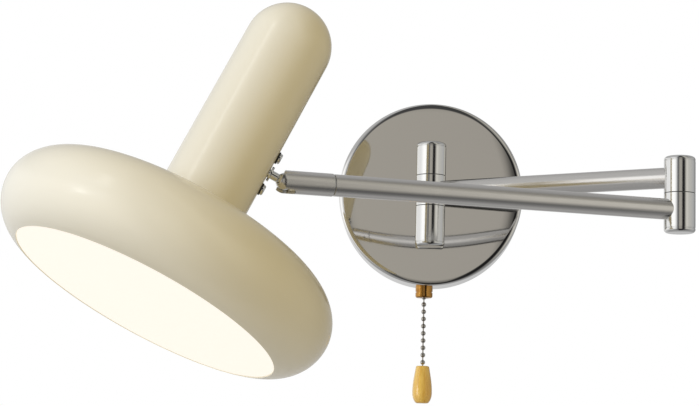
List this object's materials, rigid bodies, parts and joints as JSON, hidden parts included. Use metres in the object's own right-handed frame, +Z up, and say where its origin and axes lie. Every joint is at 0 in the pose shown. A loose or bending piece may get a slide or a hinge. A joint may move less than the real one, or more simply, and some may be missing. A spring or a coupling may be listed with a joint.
{
  "type": "swing arm wall lamp",
  "caption": "Wall lamp with a jointed swing arm on a round chrome canopy, a tilting cream bun-shaped shade with a tall neck, and a bead pull chain with a wooden pull.",
  "frame": {"origin": "centre of the canopy's back, on the wall", "axes": "+Y into the wall, +Z up, +X to the right seen from the room; the arm reaches out towards -Y"},
  "size_m": [0.3988, 0.3241, 0.2215],
  "materials": {
    "polished_chrome": "mirror polish",
    "cream_enamel": "smooth cream enamel, semi gloss",
    "diffuser_opal": "opal, lit from behind",
    "polished_brass": "polished",
    "nickel_plate": "nickel plated",
    "turned_wood": "satin lacquer",
    "zinc_steel": "zinc plated",
    "black_nylon": "matt black",
    "white_nylon": "matt white",
    "switch_plastic": "matt black",
    "wire_sheath": "smooth",
    "heat_aluminium": "brushed",
    "board_white": "white solder mask",
    "led_phosphor": "yellow phosphor",
    "reflector_white": "matt white",
    "driver_case": "white"
  },
  "bodies": {
    "wall_unit": {"canopy_cover": "polished_chrome", "mounting_strap": "zinc_steel", "cover_set_screws": "polished_chrome", "earth_screw": "polished_brass", "terminal_block": "white_nylon", "terminal_screws": "polished_brass", "stiffener_plate": "zinc_steel", "pull_switch": "switch_plastic", "switch_nozzle": "polished_brass", "brass_bush": "polished_brass", "canopy_wiring": "wire_sheath", "post_upper_barrel": "polished_chrome", "post_lower_barrel": "polished_chrome", "post_caps": "polished_chrome", "post_pivot_tube": "zinc_steel", "post_washers": "black_nylon", "post_nipples": "zinc_steel", "nipple_nuts": "zinc_steel", "post_collars": "polished_chrome"},
    "rear_arm": {"post_middle_barrel": "polished_chrome", "rear_tube": "polished_chrome", "elbow_upper_barrel": "polished_chrome", "elbow_top_cap": "polished_chrome", "rear_arm_cable": "wire_sheath"},
    "front_arm": {"elbow_lower_barrel": "polished_chrome", "elbow_bottom_cap": "polished_chrome", "elbow_pivot": "zinc_steel", "elbow_washer": "black_nylon", "elbow_nut": "zinc_steel", "front_tube": "polished_chrome", "arm_end_spigot": "zinc_steel", "front_arm_cable": "wire_sheath"},
    "joint_sleeve": {"swivel_sleeve": "polished_chrome", "lock_screw": "zinc_steel", "ball_seat": "white_nylon", "disc_springs": "zinc_steel"},
    "ball_stud": {"ball_stud": "polished_chrome", "stud_nut": "zinc_steel"},
    "head": {"neck_tube": "cream_enamel", "swivel_plate": "zinc_steel", "neck_screws": "polished_chrome", "neck_screw_washers": "black_nylon", "shade_shell": "cream_enamel", "neck_ring": "heat_aluminium", "support_pillars": "heat_aluminium", "heat_spreader": "heat_aluminium", "spreader_screws": "zinc_steel", "led_board": "board_white", "leds": "led_phosphor", "reflector": "reflector_white", "diffuser": "diffuser_opal", "diffuser_ring": "zinc_steel", "driver": "driver_case", "driver_bracket": "zinc_steel", "head_wiring": "wire_sheath"},
    "pull_plunger": {"switch_plunger": "polished_brass"},
    "chain_link": {"chain_top_bead": "nickel_plate"},
    "pull_chain": {"bead_chain": "nickel_plate", "wooden_pull": "turned_wood"}
  },
  "joints": [
    {"name": "rear_arm_swing", "type": "hinge", "parent": "wall_unit", "child": "rear_arm", "pos_m": [0, -0.04, 0], "axis": [0, 0, 1], "range_deg": [-152, 28]},
    {"name": "elbow_swing", "type": "hinge", "parent": "rear_arm", "child": "front_arm", "pos_m": [0.1501, -0.11981, 0], "axis": [0, 0, -1], "range_deg": [-264, 35]},
    {"name": "sleeve_roll", "type": "hinge", "parent": "front_arm", "child": "joint_sleeve", "pos_m": [-0.08341, -0.2048, -0.02], "axis": [-0.9397, -0.342, 0], "range_deg": [-150, 150]},
    {"name": "ball_tilt", "type": "hinge", "parent": "joint_sleeve", "child": "ball_stud", "pos_m": [-0.08341, -0.2048, -0.02], "axis": [0.3214, -0.883, 0.342], "range_deg": [-20, 60]},
    {"name": "head_spin", "type": "hinge", "parent": "ball_stud", "child": "head", "pos_m": [-0.11471, -0.21003, -0.00408], "axis": [0.8816, 0.1472, -0.4484], "range_deg": [-150, 150]},
    {"name": "switch_pull", "type": "slide", "parent": "wall_unit", "child": "pull_plunger", "axis": [0, 0, -1], "range_m": [0, 0.004], "stiffness_N_per_m": 400, "springref_m": -0.002},
    {"name": "chain_swing_front", "type": "hinge", "parent": "pull_plunger", "child": "chain_link", "pos_m": [-0.003, -0.015, -0.0668], "axis": [1, 0, 0], "range_deg": [-20, 20]},
    {"name": "chain_swing_side", "type": "hinge", "parent": "chain_link", "child": "pull_chain", "pos_m": [-0.003, -0.015, -0.0668], "axis": [0, 1, 0], "range_deg": [-20, 20]}
  ]
}
